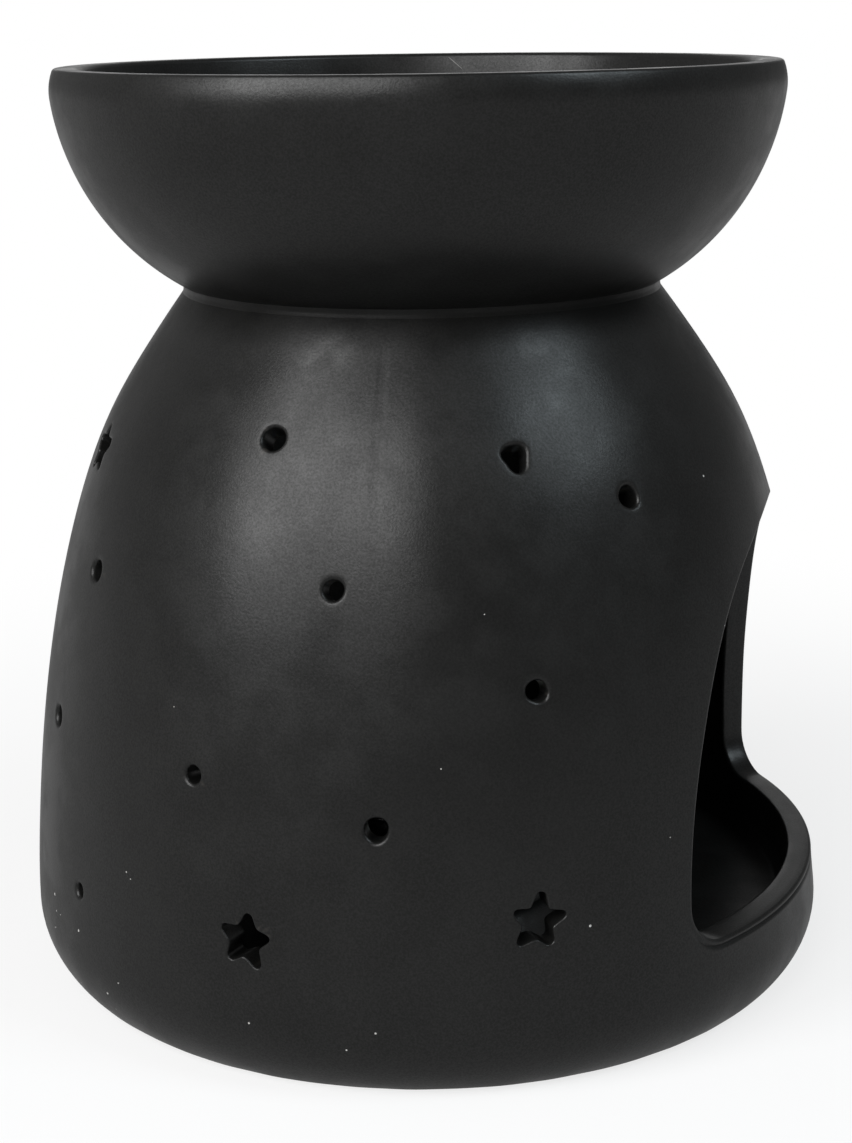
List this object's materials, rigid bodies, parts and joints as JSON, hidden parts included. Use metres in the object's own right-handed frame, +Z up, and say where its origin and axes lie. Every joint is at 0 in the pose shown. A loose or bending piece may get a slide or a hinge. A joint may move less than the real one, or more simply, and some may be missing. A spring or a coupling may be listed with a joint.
{
  "type": "essential oil burner",
  "caption": "Glazed ceramic oil burner: a dome pierced with stars and dots, an arched window for a tealight, and a shallow oil bowl on top.",
  "frame": {"origin": "centre of the foot, on the plane that the burner stands on", "axes": "+Z up through the bowl, +X out of the middle of the window, +Y to the window's right as seen from outside"},
  "size_m": [0.1086, 0.1086, 0.12],
  "materials": {
    "black_glaze": "satin black glaze, slightly grained",
    "cup_aluminium": "thin drawn sheet, satin",
    "wax": "white paraffin wax, slightly translucent, soft sheen",
    "wick_cotton": "waxed cotton braid",
    "tinplate": "thin stamped tinplate"
  },
  "bodies": {
    "burner": {"base_tray": "black_glaze", "chamber_dome": "black_glaze", "oil_bowl": "black_glaze"},
    "tealight": {"tealight_cup": "cup_aluminium"},
    "candle": {"tealight_wax": "wax", "wick": "wick_cotton", "wick_sustainer": "tinplate"}
  },
  "joints": [
    {"name": "tealight_out", "type": "slide", "parent": "burner", "child": "tealight", "axis": [0.9397, 0, 0.342], "range_m": [0, 0.085]},
    {"name": "candle_lift", "type": "slide", "parent": "tealight", "child": "candle", "axis": [0, 0, 1], "range_m": [0, 0.02]}
  ]
}
